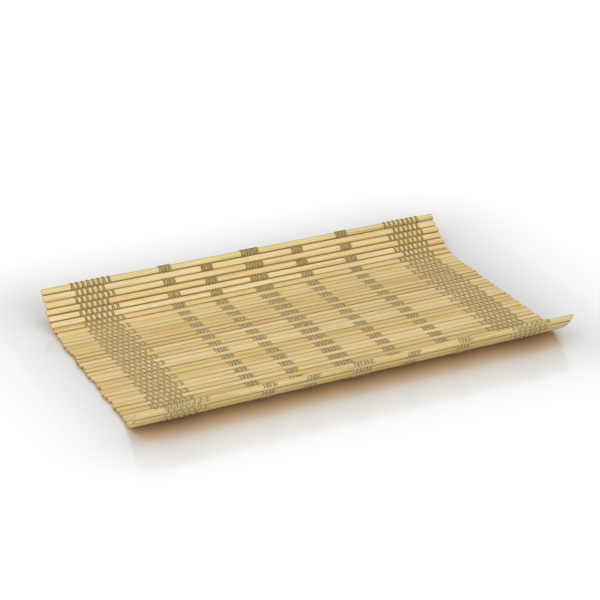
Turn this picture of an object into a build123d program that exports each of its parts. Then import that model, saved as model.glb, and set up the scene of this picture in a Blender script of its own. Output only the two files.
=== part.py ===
from build123d import *
from math import radians, tan
import os

# A mat of bamboo slats laid side by side and bound with cotton thread, drawn as it
# lies at rest: flat on its middle, with the back and front edges curled up.
# Millimetres. X runs along the slats, +Y towards the back edge, +Z up. The origin is
# under the middle of the resting mat, on the surface that it lies on.

# Driving dimensions of a slat
slat_length = 240.0
slat_width = 3.7
slat_thickness = 2.0
slat_bevel = 0.4
bevel_angle = 45.0
slat_gap = 0.4
slat_count = 39

# Driving dimensions of the thread
thread_rise = 0.35
thread_width = 1.5
narrow_column_width = 7.3
middle_column_width = 10.2
band_width = 19.6
band_warps = 7

# Where the thread columns cross the slats, as shares of the slat length from its middle
left_band_share = -0.39
narrow_column_shares = (-0.205, -0.107, 0.124, 0.247)
middle_column_share = 0.008
right_band_share = 0.416

# Which slats carry each narrow column on top: 0 for the first slat and every second one
narrow_column_phases = (0, 1, 1, 0)
middle_column_phase = 0

# Turn at each hinge of the curled edges at rest, in degrees, from the flat part outwards
back_curl_turns = (9.5, 9.5, 8.5, 7.5, 4.5, 1.5)
front_curl_turns = (6.5, 7.5, 9.0, 10.0, 10.0, 9.0, 8.0)

# The curl of the back edge starts at this many slats from the back rim
back_curl_slats = 8

# Sizes that follow
pitch = slat_width + slat_gap
half_width = slat_width / 2
half_thickness = slat_thickness / 2
pad_depth = slat_width - 2 * slat_bevel
centre_height = thread_rise + half_thickness
root = slat_count // 2
last = slat_count - 1
first_front_hinge = slat_count - len(front_curl_turns)


def slat_section():
    """The slat's cross-section in the YZ plane: flat faces with bevelled edges."""
    inner_y = half_width - slat_bevel
    inner_z = half_thickness - slat_bevel
    corners = [
        (inner_y, half_thickness),
        (half_width, inner_z),
        (half_width, -inner_z),
        (inner_y, -half_thickness),
        (-inner_y, -half_thickness),
        (-half_width, -inner_z),
        (-half_width, inner_z),
        (-inner_y, half_thickness),
    ]
    return Plane.YZ * make_face(Polyline(corners, close=True))


def bare_slat():
    """One bamboo slat, centred on the origin."""
    return extrude(slat_section(), slat_length / 2, both=True)


def band_passes(centre, slat):
    """Middle and side of every pass of a wide band: +1 over the slat, -1 under it.

    Neighbouring warps of the band lie on opposite sides, and swap on the next slat.
    """
    step = (band_width - thread_width) / (band_warps - 1)
    first = centre - (band_width - thread_width) / 2
    passes = []
    for warp in range(band_warps):
        side = 1 if (warp + slat) % 2 == 0 else -1
        passes.append((first + warp * step, thread_width, side))
    return passes


def thread_passes(slat):
    """Middle, width and side of every thread pass on this slat."""
    passes = band_passes(left_band_share * slat_length, slat)
    for share, phase in zip(narrow_column_shares, narrow_column_phases):
        side = 1 if (slat + phase) % 2 == 0 else -1
        passes.append((share * slat_length, narrow_column_width, side))
    side = 1 if (slat + middle_column_phase) % 2 == 0 else -1
    passes.append((middle_column_share * slat_length, middle_column_width, side))
    passes += band_passes(right_band_share * slat_length, slat)
    return passes


def bound_slat(slat):
    """A slat with the thread that crosses it, as raised passes over and under."""
    body = bare_slat()
    pads = []
    for centre, width, side in thread_passes(slat):
        pad_height = side * (half_thickness + thread_rise / 2)
        pads.append(Pos(centre, 0, pad_height) * Box(width, pad_depth, thread_rise))
    return body.fuse(*pads)


def turn_section(side):
    """The thread's section where it turns round the outer edge of a rim slat.

    side is +1 for the back rim and -1 for the front rim.
    """
    inner_y = half_width - slat_bevel
    inner_z = half_thickness - slat_bevel
    corner_shift = thread_rise * tan(radians(bevel_angle / 2))
    outer_y = half_width + thread_rise
    outer_z = half_thickness + thread_rise
    upper = [
        (inner_y, half_thickness),
        (inner_y, outer_z),
        (inner_y + corner_shift, outer_z),
        (outer_y, inner_z + corner_shift),
    ]
    inner = [(half_width, -inner_z), (half_width, inner_z)]
    lower = [(y, -z) for y, z in reversed(upper)]
    corners = [(side * y, z) for y, z in upper + lower + inner]
    return Plane.YZ * make_face(Polyline(corners, close=True))


def thread_turn(middles, width, side):
    """The turns of one thread column round a rim slat, one solid for each middle."""
    turns = []
    for middle in middles:
        turn = extrude(turn_section(side), width / 2, both=True)
        turns.append(Pos(middle, 0, 0) * turn)
    return turns


def rim_turns(slat, side):
    """The thread turns round a rim slat, column by column from left to right."""
    columns = []
    for share in (left_band_share, right_band_share):
        over = [x for x, width, way in band_passes(share * slat_length, slat) if way > 0]
        columns.append((share, over, thread_width))
    for share in narrow_column_shares:
        columns.append((share, [share * slat_length], narrow_column_width))
    middle = middle_column_share * slat_length
    columns.append((middle_column_share, [middle], middle_column_width))
    columns.sort(key=lambda column: column[0])
    return [thread_turn(middles, width, side) for share, middles, width in columns]


def back_rest_turn(slat):
    """Turn at rest of the hinge between this slat and the next one forward."""
    hinge = back_curl_slats - 1 - slat
    return back_curl_turns[hinge] if 0 <= hinge < len(back_curl_turns) else 0.0


def front_rest_turn(slat):
    """Turn at rest of the hinge between this slat and the next one back."""
    hinge = slat - first_front_hinge
    return front_curl_turns[hinge] if hinge >= 0 else 0.0


def hinge_frames_and_places():
    """Where every slat lies at rest, and the hinge frame that carries it.

    A hinge frame sits on its hinge line, which runs along the frame's X axis.
    """
    places = {root: Pos(0, 0, centre_height)}
    hinges = {}
    for slat in range(root - 1, -1, -1):
        hinges[slat] = places[slat + 1] * Pos(0, pitch / 2, 0)
        places[slat] = hinges[slat] * Rot(back_rest_turn(slat), 0, 0) * Pos(0, pitch / 2, 0)
    for slat in range(root + 1, slat_count):
        hinges[slat] = places[slat - 1] * Pos(0, -pitch / 2, 0)
        places[slat] = hinges[slat] * Rot(-front_rest_turn(slat), 0, 0) * Pos(0, -pitch / 2, 0)
    return hinges, places


def slat_name(slat):
    return f"slat_{slat + 1:02d}"


def build_mat():
    """Every sub-part in its place, as lists of solids by node name."""
    hinges, places = hinge_frames_and_places()
    patterns = [bound_slat(0), bound_slat(1)]
    nodes = {}
    for slat in range(slat_count):
        nodes[slat_name(slat)] = [places[slat] * patterns[slat % 2]]
    for rim, slat, side in (("back", 0, 1), ("front", last, -1)):
        for number, turns in enumerate(rim_turns(slat, side), start=1):
            nodes[f"{rim}_thread_turn_{number}"] = [places[slat] * turn for turn in turns]
    return nodes, hinges


def centring(nodes):
    """The move that brings the middle of the resting mat over the origin."""
    whole = Compound([solid for solids in nodes.values() for solid in solids])
    box = whole.bounding_box()
    middle = box.center()
    return Pos(-middle.X, -middle.Y, -box.min.Z)


def main():
    os.makedirs("parts", exist_ok=True)
    nodes, hinges = build_mat()
    move = centring(nodes)
    for name, solids in nodes.items():
        moved = [move * solid for solid in solids]
        shape = moved[0] if len(moved) == 1 else Compound(moved)
        export_step(shape, f"parts/{name}.step")
    print(len(nodes), "nodes, moved by", move.position)


if __name__ == "__main__":
    main()
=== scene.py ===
import bpy
import math
import random
import numpy as np
from mathutils import Matrix, Vector


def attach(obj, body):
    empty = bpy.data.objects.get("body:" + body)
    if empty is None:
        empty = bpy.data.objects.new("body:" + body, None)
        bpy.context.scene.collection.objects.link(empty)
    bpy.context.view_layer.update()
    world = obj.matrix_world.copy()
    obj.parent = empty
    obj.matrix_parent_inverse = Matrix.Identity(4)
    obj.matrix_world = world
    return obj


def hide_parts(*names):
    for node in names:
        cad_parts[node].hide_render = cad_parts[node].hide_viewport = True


# The mat lies on a table: bamboo slats side by side, bound by columns of cotton thread.
# Every slat and its thread is laid out from the frame's own slat and rides on its body.
# Metres, in the frame's axes. Slats count from 0 at the back rim in the code, and from 1
# in names and in the lists below.
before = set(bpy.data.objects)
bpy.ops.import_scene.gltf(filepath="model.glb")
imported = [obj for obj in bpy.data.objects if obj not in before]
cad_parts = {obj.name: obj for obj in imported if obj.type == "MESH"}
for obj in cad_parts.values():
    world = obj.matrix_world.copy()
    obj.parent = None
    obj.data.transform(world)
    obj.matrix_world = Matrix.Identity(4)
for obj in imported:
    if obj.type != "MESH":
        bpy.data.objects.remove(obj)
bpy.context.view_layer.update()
mm = 0.001

# Slats
slat_count = 39
slat_width = 3.82 * mm
slat_thickness = 2.0 * mm
width_spread = 0.025 * mm
end_unevenness = 0.65 * mm
slat_stations = 36
section_points = 16
section_power = 2.9
first_seed = 100

# How a slat bows sideways and lifts along its length, and how its section swells
bow = 0.05 * mm
bow_waves = (0.5, 1.3)
lift_share = 0.35
lift_waves = 1.7
swell_share = 0.01
swell_waves = 3.1

# A slat's end is rounded over this length: how far in, and how large the section is there
end_round = 0.9 * mm
end_rounding = ((0.0, 0.6), (0.06, 0.78), (0.22, 0.89), (0.55, 0.96), (1.0, 1.0))

# Slats that stand out by colour, and the stretch of the colour ramp for each kind, as
# its start and its length
golden_slats = (12, 13, 16, 23, 25, 31)
olive_slats = (1, 33, 38, 39)
golden_tones = (0.0, 0.12)
olive_tones = (0.94, 0.06)
plain_tones = (0.24, 0.6)

# Painted shade on a slat's long edges, where its rounded sides and the gaps fall dark: how
# dark it is, from slat to slat, and how narrow the dark is
edge_shade_strengths = (0.3, 1.25)
edge_shade_power = 3

# Towards the front rim the thread drifts to the left, and so do the slats' left ends
thread_drift_start = 28
thread_drift_step = 0.4 * mm
end_drift_start = 31
end_drift_step = 0.36 * mm

# Thread columns, along a slat from its middle. A narrow column has the slats on which it
# lies on top: 0 for the first slat and every second one, 1 for the others.
warp_pitch = 1.5 * mm
band_warps = 13
column_warp_pitch = 1.85 * mm
narrow_warps = 4
middle_warps = 6
left_band = -93.6 * mm
right_band = 99.8 * mm
left_lone_warp = -81.7 * mm
right_lone_warp = 87.9 * mm
narrow_columns = ((-49.2 * mm, 0), (-25.7 * mm, 1), (29.8 * mm, 1), (59.3 * mm, 0))
middle_column = 1.9 * mm
warp_unevenness = 0.1 * mm

# One thread: its flattened section, and its path over or under a slat. Heights are of the
# thread's middle over the slat's face; shares are of the slat's width or half thickness.
thread_half_width = 0.68 * mm
thread_gap_half_width = 0.98 * mm
thread_half_thickness = 0.26 * mm
thread_sides = 8
over_height = 0.18 * mm
under_height = 0.08 * mm
crown_height = 0.04 * mm
shoulder_height = 0.02 * mm
crossing_height = 0.5 * mm
flank_share = 0.52
shoulder_share = 0.43
top_share = 0.27
over_flank_level = 0.78
under_flank_level = -0.45

# Where a thread turns round the outer edge of a rim slat, or ends under it
turn_reach = 0.25 * mm
turn_upper_level = 0.3
turn_lower_level = -0.45
turn_corner_share = 0.47
turn_end_share = 0.36
under_end_level = -0.4

# Painted shade: the thread is painted darkest at the back rim, where the curl gets less light,
# and has its full colour from this slat on
shaded_thread_slats = 8
shaded_thread_power = 3

# Colours
white = (1.0, 1.0, 1.0)
bamboo_tones = [
    (0.0, (0.61, 0.435, 0.155)),
    (0.2, (0.66, 0.49, 0.20)),
    (0.45, (0.69, 0.535, 0.24)),
    (0.7, (0.71, 0.565, 0.285)),
    (0.86, (0.70, 0.56, 0.26)),
    (1.0, (0.64, 0.55, 0.25)),
]
bamboo_patches = [
    (0.28, (0.82, 0.70, 0.50)),
    (0.40, (0.99, 0.91, 0.84)),
    (0.50, (1.08, 1.07, 1.16)),
    (0.60, (0.98, 1.0, 0.90)),
    (0.72, (0.88, 0.95, 0.55)),
]
bamboo_fibres = [(0.34, (0.78, 0.73, 0.62)), (0.56, white)]
# Painted shade darkens the slats' long edges, and a painted sheen lightens their middle
bamboo_edge_shade_and_sheen = [
    (0.0, (1.03, 1.03, 1.08)),
    (0.3, (0.98, 0.97, 0.92)),
    (0.65, (0.73, 0.63, 0.38)),
    (1.0, (0.45, 0.33, 0.13)),
]
thread_clouds = [(0.3, (0.43, 0.325, 0.155)), (0.7, (0.66, 0.53, 0.29))]
thread_strands = [(0.35, (0.7, 0.67, 0.6)), (0.6, white)]
# Painted shade at the threads' sides, where neighbouring threads shade each other
thread_side_shade_tints = [(0.55, white), (1.0, (0.5, 0.43, 0.32))]
# Painted shade on the thread of the back curl
thread_painted_shade_tints = [(0.0, (0.74, 0.69, 0.54)), (1.0, white)]

# Noise: how often it changes in a metre along X, Y and Z, and its detail
patch_noise = ((22.0, 800.0, 800.0), 2.0)
fibre_noise = ((30.0, 3200.0, 3200.0), 4.0)
cloud_noise = ((700.0, 700.0, 700.0), 3.0)
strand_noise = ((9000.0, 1500.0, 1500.0), 2.0)

# Surfaces
fibre_strength = 0.75
bamboo_roughness = 0.36
bamboo_bump = 0.3
thread_roughness = 0.9
thread_specular = 0.2
thread_bump = 0.5
bump_depth = 0.1 * mm

# Table: a soft grey painted round the mat as its shadow, by distance from a box that holds its
# outline
table_size = 6.0
table_height = -0.05 * mm
table_roughness = 0.15
table_ior = 1.8
halo_low = (-109.0 * mm, -64.0 * mm, -1.0)
halo_high = (117.0 * mm, 84.0 * mm, 1.0)
halo_reach = 75.0 * mm
# Painted shadow: the table's colour by distance from the box, grey near the mat out to white
painted_shade_greys = [
    (0.0, (0.62, 0.62, 0.62)),
    (0.13, (0.67, 0.67, 0.67)),
    (0.22, (0.75, 0.75, 0.75)),
    (0.42, (0.86, 0.86, 0.86)),
    (0.56, (0.93, 0.93, 0.93)),
    (1.0, white),
]

# The camera sees the table fade to plain white between these distances
fade_start = 0.45 * halo_reach
fade_end = 1.1 * halo_reach

# Painted contact shade: close under the mat, where ambient occlusion is high, the table is
# painted darker and brown, standing in for the shadow there and the light the bamboo bounces
# onto it
contact_reach = 30.0 * mm
contact_samples = 16
painted_contact_shade_tints = [
    (0.3, (1.0, 0.72, 0.45)),
    (0.45, (1.0, 0.83, 0.65)),
    (0.6, (1.0, 0.95, 0.9)),
    (0.8, white),
]

# Lamps, all aimed at the origin: name, place, size and power
lamps = (
    ("key", (-0.75, -0.75, 1.0), 0.9, 9.2),
    ("front", (0.0, -1.3, 0.45), 0.9, 4.6),
    ("top", (0.35, -0.1, 1.3), 1.0, 3.6),
)

# The world's strength as light on the scene, and where it is seen or mirrored
world_light = 0.46
world_seen = 1.0

# Camera, fitted to the edges and slats of the mat in the photograph
camera_place = Vector((-360.888, -744.591, 405.267)) * mm
camera_right = Vector((0.900747, -0.434343, 0.0))
camera_back = Vector((-0.39347, -0.815984, 0.423499))
camera_roll = math.radians(-0.3083)
focal_pixels = 1738.176
image_pixels = 600
sensor_width = 36.0
view_reach = 20.0

# For reading the frame's slats
end_depth = 0.1 * mm
corner_decimals = 7
fitting_rounds = 3


# The frame's slats

def slat_node(slat):
    return f"slat_{slat + 1:02d}"


def slat_body(slat):
    return f"link_{slat + 1:02d}"


def corners_at_end(points, along, end):
    """The corners of the slat's own section at one end, without doubles."""
    reach = points @ along * end
    close = points[reach > reach.max() - end_depth]
    return np.unique(close.round(corner_decimals), axis=0)


def slat_place(slat):
    """A slat's own frame as the CAD has it, X along it and Z up, and its length."""
    points = np.array([v.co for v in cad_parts[slat_node(slat)].data.vertices])
    along = np.array((1.0, 0.0, 0.0))
    for _ in range(fitting_rounds):
        right = corners_at_end(points, along, 1)
        left = corners_at_end(points, along, -1)
        span = right.mean(0) - left.mean(0)
        along = span / np.linalg.norm(span)
    centred = np.vstack((right - right.mean(0), left - left.mean(0)))
    across = np.linalg.svd(centred)[2][0]
    across = across * np.sign(across[1])
    across -= along * (across @ along)
    across /= np.linalg.norm(across)
    up = np.cross(along, across)
    place = Matrix.Identity(4)
    middle = (right.mean(0) + left.mean(0)) / 2
    for row in range(3):
        place[row][:] = (along[row], across[row], up[row], middle[row])
    return place, float(np.linalg.norm(span))


# Mesh building

def loft(rings):
    """Vertices and faces of a closed tube through rings of the same number of points."""
    count = len(rings[0])
    last = (len(rings) - 1) * count
    verts = [point for ring in rings for point in ring]
    faces = []
    for here in range(0, last, count):
        there = here + count
        for side in range(count):
            after = (side + 1) % count
            faces.append((here + side, here + after, there + after, there + side))
    faces.append(tuple(reversed(range(count))))
    faces.append(tuple(range(last, last + count)))
    return verts, faces


def mesh_object(name, verts, faces, surface, **attributes):
    """A smooth mesh in the scene, with one number at each vertex for every attribute."""
    mesh = bpy.data.meshes.new(name)
    mesh.from_pydata([tuple(v) for v in verts], [], faces)
    mesh.validate()
    for polygon in mesh.polygons:
        polygon.use_smooth = True
    for attribute, values in attributes.items():
        layer = mesh.attributes.new(attribute, "FLOAT", "POINT")
        layer.data.foreach_set("value", values)
    mesh.materials.append(surface)
    piece = bpy.data.objects.new(name, mesh)
    bpy.context.scene.collection.objects.link(piece)
    return piece


def drift(slat, start, step):
    """How far something lies to the left on this slat, by steps from a first slat on."""
    return step * max(0, slat + 1 - start)


# Bamboo

def section_angles():
    return [math.tau * (j + 0.5) / section_points for j in range(section_points)]


def section_point(angle, half_width, half_thickness):
    """A point of a slat's rounded, slightly crowned section."""
    c, s = math.cos(angle), math.sin(angle)
    power = 2 / section_power
    y = math.copysign(abs(c) ** power, c) * half_width
    z = math.copysign(abs(s) ** power, s) * half_thickness
    return y, z


def slat_stops(left, right):
    """Places along a slat from its left to its right end, and the section's size there."""
    step = (right - left) / slat_stations
    stops = [(left + share * end_round, size) for share, size in end_rounding]
    stops += [(left + i * step, 1.0) for i in range(1, slat_stations)]
    stops += [(right - share * end_round, size) for share, size in reversed(end_rounding)]
    return stops


def slat_rings(length, longer, wobble):
    """Rings of points along a slat in its own frame, a little bowed and uneven."""
    left = -length / 2 - wobble.uniform(-1, 1) * end_unevenness - longer
    right = length / 2 + wobble.uniform(-1, 1) * end_unevenness
    phase = wobble.uniform(0, math.tau)
    waves = wobble.uniform(*bow_waves)
    half_width = slat_width / 2 + wobble.uniform(-1, 1) * width_spread
    rings = []
    for x, size in slat_stops(left, right):
        turn = math.tau * x / length
        side = bow * math.sin(turn * waves + phase)
        lift = lift_share * bow * math.sin(turn * lift_waves * waves + 2 * phase)
        swell = 1 + swell_share * math.sin(turn * swell_waves + 3 * phase)
        ring = []
        for angle in section_angles():
            y, z = section_point(angle, half_width * swell, slat_thickness / 2)
            ring.append(Vector((x, y * size + side, z * size + lift)))
        rings.append(ring)
    return rings


def slat_tone(number, chance):
    """Where a slat lies on the bamboo's colour ramp, from golden brown to olive."""
    start, stretch = plain_tones
    if number in golden_slats:
        start, stretch = golden_tones
    if number in olive_slats:
        start, stretch = olive_tones
    return start + stretch * chance


def bamboo_edge_shade(rings, strength):
    """For each point of a slat, how near it is to the slat's long edges: 0 to strength. It
    places the painted edge shade.
    """
    shares = [abs(section_point(angle, 1.0, 1.0)[0]) for angle in section_angles()]
    return [strength * share ** edge_shade_power for share in shares] * rings


# Thread

def side_of(count):
    """+1 where a warp lies over the slat and -1 where it lies under it."""
    return 1 if count % 2 == 0 else -1


def warps(slat):
    """Place along the slat and side of every warp that crosses it."""
    found = []
    for centre in (left_band, right_band):
        for warp in range(band_warps):
            x = centre + (warp - (band_warps - 1) / 2) * warp_pitch
            found.append((x, side_of(warp + slat)))
    for x in (left_lone_warp, right_lone_warp):
        found.append((x, side_of(slat)))
    columns = [(centre, phase, narrow_warps) for centre, phase in narrow_columns]
    for centre, phase, count in columns + [(middle_column, 0, middle_warps)]:
        for warp in range(count):
            x = centre + (warp - (count - 1) / 2) * column_warp_pitch
            found.append((x, side_of(slat + phase)))
    return found


def crossing(slat, x, way):
    """Where a warp leaves a slat: at the middle of the gap to its neighbour.

    way is +1 towards the back and -1 towards the front.
    """
    near = places[slat] @ Vector((x, way * pitch / 2, crossing_height))
    far = places[slat - way] @ Vector((x, -way * pitch / 2, crossing_height))
    return (near + far) / 2


def rim_end(slat, x, side, way):
    """How a warp ends at the outside of a rim slat: the ones on top turn round its edge."""
    edge = slat_width / 2 + turn_reach
    half_thickness = slat_thickness / 2
    path = [
        (edge, turn_upper_level * half_thickness),
        (edge, turn_lower_level * half_thickness),
        (turn_corner_share * slat_width, -half_thickness),
        (turn_end_share * slat_width, -half_thickness - under_height),
    ]
    if side < 0:
        path = [(edge, under_end_level * half_thickness)]
    return [places[slat] @ Vector((x, way * y, z)) for y, z in path]


def arch(slat, x, side):
    """Points of one warp over or under a slat, from the gap behind to the gap in front."""
    half_thickness = slat_thickness / 2
    height = over_height if side > 0 else under_height
    top = side * (half_thickness + height)
    shoulder = side * (half_thickness + shoulder_height)
    flank = (over_flank_level if side > 0 else under_flank_level) * half_thickness
    half = [
        (flank_share * slat_width, flank),
        (shoulder_share * slat_width, shoulder),
        (top_share * slat_width, top),
    ]
    path = half + [(0.0, top + side * crown_height)] + [(-y, z) for y, z in reversed(half)]
    points = [places[slat] @ Vector((x, y, z)) for y, z in path]
    at_back = slat == 0
    at_front = slat == slat_count - 1
    behind = rim_end(slat, x, side, 1)[::-1] if at_back else [crossing(slat, x, 1)]
    ahead = rim_end(slat, x, side, -1) if at_front else [crossing(slat, x, -1)]
    return behind + points + ahead


def thread_angles():
    return [math.tau * side / thread_sides for side in range(thread_sides)]


def thread_side_shade(points):
    """For each point of a thread's tube, how near it is to the thread's side: 0 to 1. It
    places the painted shade at the thread's sides.
    """
    return [abs(math.cos(angle)) for angle in thread_angles()] * len(points)


def thread_tube(points, wide):
    """A flattened thread through the points; wide is the direction of its width.

    It is narrow where it is drawn tight on the slat, and spreads out in the gaps.
    """
    rings = []
    last = len(points) - 1
    for i, point in enumerate(points):
        forward = points[min(i + 1, last)] - points[max(i - 1, 0)]
        up = wide.cross(forward).normalized()
        spread = abs(2 * i / last - 1)
        half_width = thread_half_width + spread * (thread_gap_half_width - thread_half_width)
        ring = []
        for angle in thread_angles():
            offset = wide * math.cos(angle) * half_width
            ring.append(point + offset + up * math.sin(angle) * thread_half_thickness)
        rings.append(ring)
    return loft(rings)


def thread_mesh(slat, wobble):
    """All the thread that crosses one slat, with the turns round a rim slat."""
    verts, faces, edges = [], [], []
    wide = places[slat].to_3x3() @ Vector((1, 0, 0))
    to_left = drift(slat, thread_drift_start, thread_drift_step)
    for place, side in warps(slat):
        x = place + wobble.uniform(-1, 1) * warp_unevenness - to_left
        points = arch(slat, x, side)
        tube_verts, tube_faces = thread_tube(points, wide)
        start = len(verts)
        verts += tube_verts
        faces += [tuple(start + v for v in face) for face in tube_faces]
        edges += thread_side_shade(points)
    return verts, faces, edges


# Materials

def material(name):
    """A new material of one Principled shader, with its nodes, links and shader."""
    made = bpy.data.materials.new(name)
    made.use_nodes = True
    nodes = made.node_tree.nodes
    links = made.node_tree.links
    nodes.clear()
    output = nodes.new("ShaderNodeOutputMaterial")
    shader = nodes.new("ShaderNodeBsdfPrincipled")
    links.new(shader.outputs[0], output.inputs[0])
    return made, nodes, links, shader


def vertex_value(nodes, attribute):
    """The number that the mesh carries at its vertices under this name."""
    reader = nodes.new("ShaderNodeAttribute")
    reader.attribute_name = attribute
    return reader.outputs["Fac"]


def stretched_noise(nodes, links, scale, detail):
    """Noise of its own scale along each axis, in the coordinates of the resting mat."""
    place = nodes.new("ShaderNodeTexCoord")
    stretch = nodes.new("ShaderNodeMapping")
    stretch.inputs["Scale"].default_value = scale
    links.new(place.outputs["Object"], stretch.inputs["Vector"])
    noise = nodes.new("ShaderNodeTexNoise")
    noise.inputs["Scale"].default_value = 1.0
    noise.inputs["Detail"].default_value = detail
    links.new(stretch.outputs[0], noise.inputs["Vector"])
    return noise.outputs["Fac"]


def ramp(nodes, links, value, stops):
    """A colour ramp through the stops, each a position and a colour."""
    made = nodes.new("ShaderNodeValToRGB")
    elements = made.color_ramp.elements
    while len(elements) < len(stops):
        elements.new(0.5)
    for element, (position, colour) in zip(elements, stops):
        element.position = position
        element.color = (*colour, 1.0)
    links.new(value, made.inputs[0])
    return made.outputs[0]


def multiplied(nodes, links, first, second, factor=1.0):
    """One colour multiplied by another, as far as the factor says."""
    made = nodes.new("ShaderNodeMix")
    made.data_type = "RGBA"
    made.blend_type = "MULTIPLY"
    made.inputs["Factor"].default_value = factor
    links.new(first, made.inputs["A"])
    links.new(second, made.inputs["B"])
    return made.outputs["Result"]


def add_bump(nodes, links, shader, height, strength):
    bump = nodes.new("ShaderNodeBump")
    bump.inputs["Strength"].default_value = strength
    bump.inputs["Distance"].default_value = bump_depth
    links.new(height, bump.inputs["Height"])
    links.new(bump.outputs[0], shader.inputs["Normal"])


def bamboo_material():
    """Split bamboo: a tone for each slat, long patches, fibres, painted shade on the long
    edges and a painted sheen along the middle.
    """
    made, nodes, links, shader = material("bamboo")
    fibre = stretched_noise(nodes, links, *fibre_noise)
    base = ramp(nodes, links, vertex_value(nodes, "tone"), bamboo_tones)
    patches = ramp(nodes, links, stretched_noise(nodes, links, *patch_noise), bamboo_patches)
    lines = ramp(nodes, links, fibre, bamboo_fibres)
    # Painted shade on the long edges and painted sheen in the middle of each slat
    edge = ramp(nodes, links, vertex_value(nodes, "edge"), bamboo_edge_shade_and_sheen)
    colour = multiplied(nodes, links, base, patches)
    colour = multiplied(nodes, links, colour, lines, fibre_strength)
    colour = multiplied(nodes, links, colour, edge)
    links.new(colour, shader.inputs["Base Color"])
    shader.inputs["Roughness"].default_value = bamboo_roughness
    add_bump(nodes, links, shader, fibre, bamboo_bump)
    return made


def thread_material():
    """Matt cotton: cloudy, twisted from strands, with painted shade at its sides and on the
    slats of the back curl.
    """
    made, nodes, links, shader = material("cotton_thread")
    strand = stretched_noise(nodes, links, *strand_noise)
    base = ramp(nodes, links, stretched_noise(nodes, links, *cloud_noise), thread_clouds)
    # Painted shade: the thread of the back curl is darker
    tone = ramp(nodes, links, vertex_value(nodes, "tone"), thread_painted_shade_tints)
    strands = ramp(nodes, links, strand, thread_strands)
    # Painted shade at the thread's sides
    edge = ramp(nodes, links, vertex_value(nodes, "edge"), thread_side_shade_tints)
    colour = multiplied(nodes, links, base, tone)
    colour = multiplied(nodes, links, colour, strands)
    colour = multiplied(nodes, links, colour, edge)
    links.new(colour, shader.inputs["Base Color"])
    shader.inputs["Roughness"].default_value = thread_roughness
    shader.inputs["Specular IOR Level"].default_value = thread_specular
    add_bump(nodes, links, shader, strand, thread_bump)
    return made


def vector_step(nodes, links, operation, first, second=None):
    """One step of vector arithmetic; first and second are sockets or plain vectors."""
    step = nodes.new("ShaderNodeVectorMath")
    step.operation = operation
    for socket, value in zip(step.inputs, (first, second)):
        if isinstance(value, tuple):
            socket.default_value = value
        elif value is not None:
            links.new(value, socket)
    return step.outputs["Value"] if operation == "LENGTH" else step.outputs["Vector"]


def halo_distance(nodes, links):
    """How far a point of the table lies outside the box of the halo, the painted shadow round
    the mat.
    """
    place = nodes.new("ShaderNodeNewGeometry").outputs["Position"]
    past_high = vector_step(nodes, links, "SUBTRACT", place, halo_high)
    past_low = vector_step(nodes, links, "SUBTRACT", halo_low, place)
    past = vector_step(nodes, links, "MAXIMUM", past_high, past_low)
    outside = vector_step(nodes, links, "MAXIMUM", past, (0.0, 0.0, 0.0))
    return vector_step(nodes, links, "LENGTH", outside)


def table_material():
    """Glossy white, with a painted soft shadow round the mat and painted brown contact shade
    under it, that fades out to pure white.
    """
    made, nodes, links, shader = material("table")
    distance = halo_distance(nodes, links)
    share = nodes.new("ShaderNodeMapRange")
    share.inputs["From Max"].default_value = halo_reach
    links.new(distance, share.inputs["Value"])
    # Painted shadow round the mat, in the table's own colour
    painted_shade = ramp(nodes, links, share.outputs[0], painted_shade_greys)
    # Painted contact shade: ambient occlusion darkens the table and tints it brown under the
    # mat
    openness = nodes.new("ShaderNodeAmbientOcclusion")
    openness.samples = contact_samples
    openness.inputs["Distance"].default_value = contact_reach
    painted_contact_shade = ramp(nodes, links, openness.outputs["AO"], painted_contact_shade_tints)
    links.new(multiplied(nodes, links, painted_shade, painted_contact_shade), shader.inputs["Base Color"])
    shader.inputs["Roughness"].default_value = table_roughness
    shader.inputs["IOR"].default_value = table_ior
    fade = nodes.new("ShaderNodeMapRange")
    fade.interpolation_type = "SMOOTHSTEP"
    fade.inputs["From Min"].default_value = fade_start
    fade.inputs["From Max"].default_value = fade_end
    links.new(distance, fade.inputs["Value"])
    path = nodes.new("ShaderNodeLightPath")
    seen = nodes.new("ShaderNodeMath")
    seen.operation = "MULTIPLY"
    links.new(path.outputs["Is Camera Ray"], seen.inputs[0])
    links.new(fade.outputs[0], seen.inputs[1])
    glow = nodes.new("ShaderNodeEmission")
    glow.inputs["Color"].default_value = (*white, 1.0)
    mix = nodes.new("ShaderNodeMixShader")
    links.new(seen.outputs[0], mix.inputs[0])
    links.new(shader.outputs[0], mix.inputs[1])
    links.new(glow.outputs[0], mix.inputs[2])
    output = next(node for node in nodes if node.type == "OUTPUT_MATERIAL")
    links.new(mix.outputs[0], output.inputs[0])
    return made


# The mat

bamboo = bamboo_material()
thread = thread_material()
read = [slat_place(slat) for slat in range(slat_count)]
places = [place for place, length in read]
middle_slat = slat_count // 2
pitch = (places[middle_slat].translation - places[middle_slat + 1].translation).length

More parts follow.
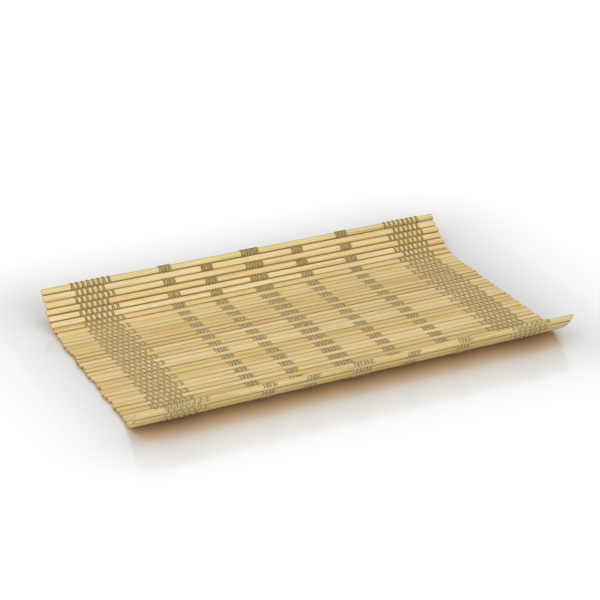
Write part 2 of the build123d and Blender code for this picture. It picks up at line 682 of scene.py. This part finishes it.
for slat in range(slat_count):
    place, length = read[slat]
    wobble = random.Random(first_seed + slat)
    rings = slat_rings(length, drift(slat, end_drift_start, end_drift_step), wobble)
    verts, faces = loft([[place @ point for point in ring] for ring in rings])
    tones = [slat_tone(slat + 1, wobble.random())] * len(verts)
    # The edge mask places the painted edge shade and sheen on this slat
    edges = bamboo_edge_shade(len(rings), wobble.uniform(*edge_shade_strengths))
    piece = mesh_object(f"bamboo_{slat + 1:02d}", verts, faces, bamboo, tone=tones, edge=edges)
    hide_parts(slat_node(slat))
    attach(piece, slat_body(slat))
    # The thread's edge mask places painted shade at its sides
    verts, faces, edges = thread_mesh(slat, wobble)
    # The thread's tone is painted shade, darkest at the back rim
    tones = [min(1.0, (slat / shaded_thread_slats) ** shaded_thread_power)] * len(verts)
    piece = mesh_object(f"thread_{slat + 1:02d}", verts, faces, thread, tone=tones, edge=edges)
    if slat == 0:
        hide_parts(*[f"back_thread_turn_{n}" for n in range(1, 8)])
    if slat == slat_count - 1:
        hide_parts(*[f"front_thread_turn_{n}" for n in range(1, 8)])
    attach(piece, slat_body(slat))

# Table

bpy.ops.mesh.primitive_plane_add(size=table_size, location=(0, 0, table_height))
table = bpy.context.object
table.name = "table"
table.data.materials.append(table_material())

# Light

for name, place, size, power in lamps:
    data = bpy.data.lights.new(name, "AREA")
    data.shape = "DISK"
    data.size = size
    data.energy = power
    lamp = bpy.data.objects.new(name, data)
    lamp.location = place
    lamp.rotation_euler = (-Vector(place)).to_track_quat("-Z", "Y").to_euler()
    bpy.context.scene.collection.objects.link(lamp)

world = bpy.data.worlds.new("studio")
bpy.context.scene.world = world
world.use_nodes = True
world_nodes = world.node_tree.nodes
world_links = world.node_tree.links
background = world_nodes["Background"]
background.inputs["Color"].default_value = (*white, 1.0)
ray = world_nodes.new("ShaderNodeLightPath")
direct = world_nodes.new("ShaderNodeMath")
direct.operation = "MAXIMUM"
world_links.new(ray.outputs["Is Camera Ray"], direct.inputs[0])
world_links.new(ray.outputs["Is Glossy Ray"], direct.inputs[1])
strength = world_nodes.new("ShaderNodeMapRange")
strength.inputs["To Min"].default_value = world_light
strength.inputs["To Max"].default_value = world_seen
world_links.new(direct.outputs[0], strength.inputs["Value"])
world_links.new(strength.outputs[0], background.inputs["Strength"])

# Camera

camera_data = bpy.data.cameras.new("camera")
camera_data.sensor_width = sensor_width
camera_data.lens = sensor_width * focal_pixels / image_pixels
camera_data.clip_end = view_reach
camera = bpy.data.objects.new("camera", camera_data)
camera_up = camera_back.cross(camera_right)
camera_turn = Matrix((camera_right, camera_up, camera_back)).transposed()
camera_turn = camera_turn @ Matrix.Rotation(camera_roll, 3, "Z")
camera.matrix_world = Matrix.Translation(camera_place) @ camera_turn.to_4x4()
bpy.context.scene.collection.objects.link(camera)
bpy.context.scene.camera = camera
bpy.context.scene.view_settings.view_transform = "Standard"
